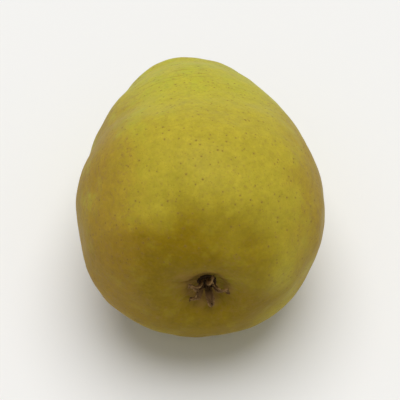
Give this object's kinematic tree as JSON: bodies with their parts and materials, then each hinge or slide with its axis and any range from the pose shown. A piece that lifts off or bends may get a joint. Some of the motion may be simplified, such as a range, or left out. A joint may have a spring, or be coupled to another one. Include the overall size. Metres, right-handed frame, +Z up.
{
  "type": "pear",
  "caption": "Stout, slightly lumpy pear lying on its flank, with a blunt neck, a short thick bent stalk and a dried calyx in a shallow basin.",
  "frame": {"origin": "on the small flat spot that the pear rests on, on the floor plane and under its centre of gravity", "axes": "+Z up, +Y from the calyx end towards the stalk end, which dips by about 13 degrees, +X to the right of the pear seen from the calyx end"},
  "size_m": [0.0802, 0.1077, 0.0807],
  "materials": {
    "skin": "olive yellow-green pear skin with fine tan russet dots and tan patches, dull with a weak broad sheen",
    "stalk_bark": "dull brown bark with pale pores",
    "dried_calyx": "dry, crumpled and dark brown"
  },
  "bodies": {
    "root": {"fruit": "skin", "stalk": "stalk_bark", "calyx": "dried_calyx"}
  },
  "joints": []
}
